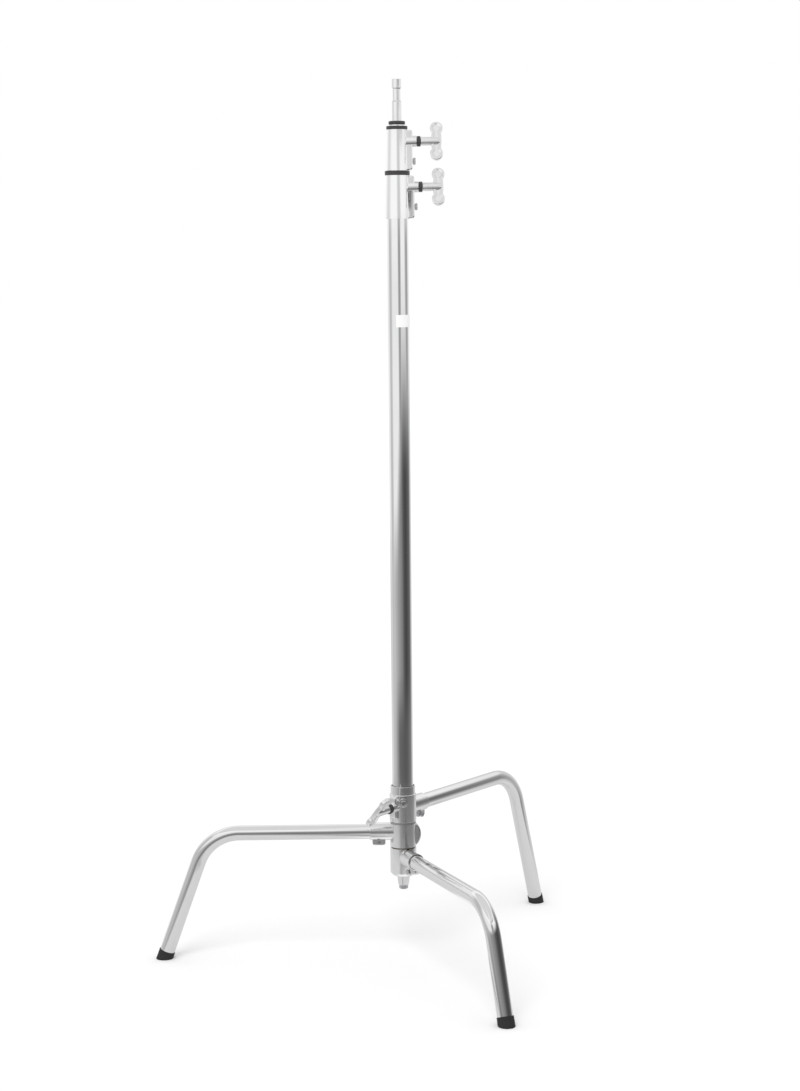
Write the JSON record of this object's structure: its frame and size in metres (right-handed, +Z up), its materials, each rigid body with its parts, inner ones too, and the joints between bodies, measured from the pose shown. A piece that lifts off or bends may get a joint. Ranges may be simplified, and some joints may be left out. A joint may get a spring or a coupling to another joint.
{
  "type": "air-cushioned light stand",
  "caption": "Chromed light stand: a telescoping air-cushioned column on bent swinging legs, the top leg sliding for uneven floors, with wing-knob clamps and a mounting pin.",
  "frame": {"origin": "the point on the floor straight under the column's axis", "axes": "+Z up along the column; +X is the side that the column and riser knobs point to; the middle leg points close to -X; +Y away from the side that the picture shows"},
  "size_m": [0.6774, 0.7283, 1.4617],
  "materials": {
    "chrome": "bright chrome plate on steel tube and cast brackets",
    "bright_steel": "zinc-bright screws, bolts, pins, nut and plugs",
    "black_rubber": "matt black rubber",
    "black_nylon": "satin black nylon",
    "white_nylon": "natural nylon",
    "bronze": "plain bearing bronze",
    "blank_label": "blank white label film"
  },
  "bodies": {
    "base": {"column_tube": "chrome", "column_spindle": "bright_steel", "column_pin": "bright_steel", "column_collar": "chrome", "column_bush": "black_nylon", "column_collar_bolt": "bright_steel", "column_label": "blank_label", "hub_spring": "bright_steel", "spring_cup": "chrome", "spindle_nut": "bright_steel", "thrust_washer": "bronze", "bottom_bracket": "chrome", "bottom_bracket_pin": "bright_steel", "bottom_leg_tube": "chrome", "bottom_leg_foot": "black_rubber", "bottom_leg_bolt": "bright_steel"},
    "middle_leg": {"middle_bracket": "chrome", "middle_leg_tube": "chrome", "middle_leg_foot": "black_rubber", "middle_leg_bolt": "bright_steel"},
    "leg_liner": {"sliding_liner": "black_nylon"},
    "sliding_leg": {"sliding_collar": "chrome", "sliding_leg_tube": "chrome", "sliding_leg_foot": "black_rubber", "sliding_leg_bolt": "bright_steel", "sliding_drag_screw": "bright_steel"},
    "sliding_pad": {"sliding_brake_pad": "white_nylon"},
    "sliding_knob": {"sliding_wing_knob": "chrome", "sliding_knob_screw": "bright_steel", "sliding_knob_washer": "black_nylon"},
    "column_pad": {"column_brake_pad": "white_nylon"},
    "column_knob": {"column_wing_knob": "chrome", "column_knob_screw": "bright_steel", "column_knob_washer": "black_nylon"},
    "lower_piston": {"lower_piston": "black_nylon", "lower_piston_seal": "black_rubber", "lower_piston_screw": "bright_steel"},
    "lower_riser": {"lower_riser_tube": "chrome", "lower_riser_plug": "bright_steel", "riser_collar": "chrome", "riser_bush": "black_nylon", "riser_collar_bolt": "bright_steel"},
    "riser_pad": {"riser_brake_pad": "white_nylon"},
    "riser_knob": {"riser_wing_knob": "chrome", "riser_knob_screw": "bright_steel", "riser_knob_washer": "black_nylon"},
    "upper_piston": {"upper_piston": "black_nylon", "upper_piston_seal": "black_rubber", "upper_piston_screw": "bright_steel"},
    "upper_riser": {"upper_riser_tube": "chrome", "upper_riser_plug": "bright_steel", "mounting_pin": "chrome", "pin_ring": "black_nylon", "pin_dowel": "bright_steel"}
  },
  "joints": [
    {"name": "middle_leg_swivel", "type": "hinge", "parent": "base", "child": "middle_leg", "pos_m": [0, 0, 0.2151], "axis": [0, 0, 1], "range_deg": [0, 105.9]},
    {"name": "sliding_leg_slide", "type": "slide", "parent": "base", "child": "leg_liner", "axis": [0, 0, 1], "range_m": [0, 0.7]},
    {"name": "sliding_leg_swivel", "type": "hinge", "parent": "leg_liner", "child": "sliding_leg", "pos_m": [0, 0, 0.2558], "axis": [0, 0, 1], "range_deg": [-114.6, 0]},
    {"name": "sliding_pad_slide", "type": "slide", "parent": "sliding_leg", "child": "sliding_pad", "axis": [-0.599, -0.8007, 0], "range_m": [0, 0.0025]},
    {"name": "sliding_knob_turn", "type": "hinge", "parent": "sliding_pad", "child": "sliding_knob", "pos_m": [0, 0, 0.2605], "axis": [-0.599, -0.8007, 0], "range_deg": [0, 720]},
    {"name": "column_pad_slide", "type": "slide", "parent": "base", "child": "column_pad", "axis": [1, 0, 0], "range_m": [0, 0.0025]},
    {"name": "column_knob_turn", "type": "hinge", "parent": "column_pad", "child": "column_knob", "pos_m": [0, 0, 1.2886], "axis": [1, 0, 0], "range_deg": [0, 720]},
    {"name": "lower_riser_slide", "type": "slide", "parent": "base", "child": "lower_piston", "axis": [0, 0, 1], "range_m": [0, 0.87]},
    {"name": "lower_riser_swivel", "type": "hinge", "parent": "lower_piston", "child": "lower_riser", "pos_m": [0, 0, 0.2956], "axis": [0, 0, 1], "continuous": true},
    {"name": "riser_pad_slide", "type": "slide", "parent": "lower_riser", "child": "riser_pad", "axis": [1, 0, 0], "range_m": [0, 0.0025]},
    {"name": "riser_knob_turn", "type": "hinge", "parent": "riser_pad", "child": "riser_knob", "pos_m": [0, 0, 1.3619], "axis": [1, 0, 0], "range_deg": [0, 720]},
    {"name": "upper_riser_slide", "type": "slide", "parent": "lower_riser", "child": "upper_piston", "axis": [0, 0, 1], "range_m": [0, 0.87]},
    {"name": "upper_riser_swivel", "type": "hinge", "parent": "upper_piston", "child": "upper_riser", "pos_m": [0, 0, 0.3329], "axis": [0, 0, 1], "continuous": true}
  ],
  "couplings": [
    {"joint": "sliding_knob_turn", "follows": "sliding_pad_slide", "rad_per_m": 5026.5},
    {"joint": "column_knob_turn", "follows": "column_pad_slide", "rad_per_m": 5026.5},
    {"joint": "riser_knob_turn", "follows": "riser_pad_slide", "rad_per_m": 5026.5}
  ]
}
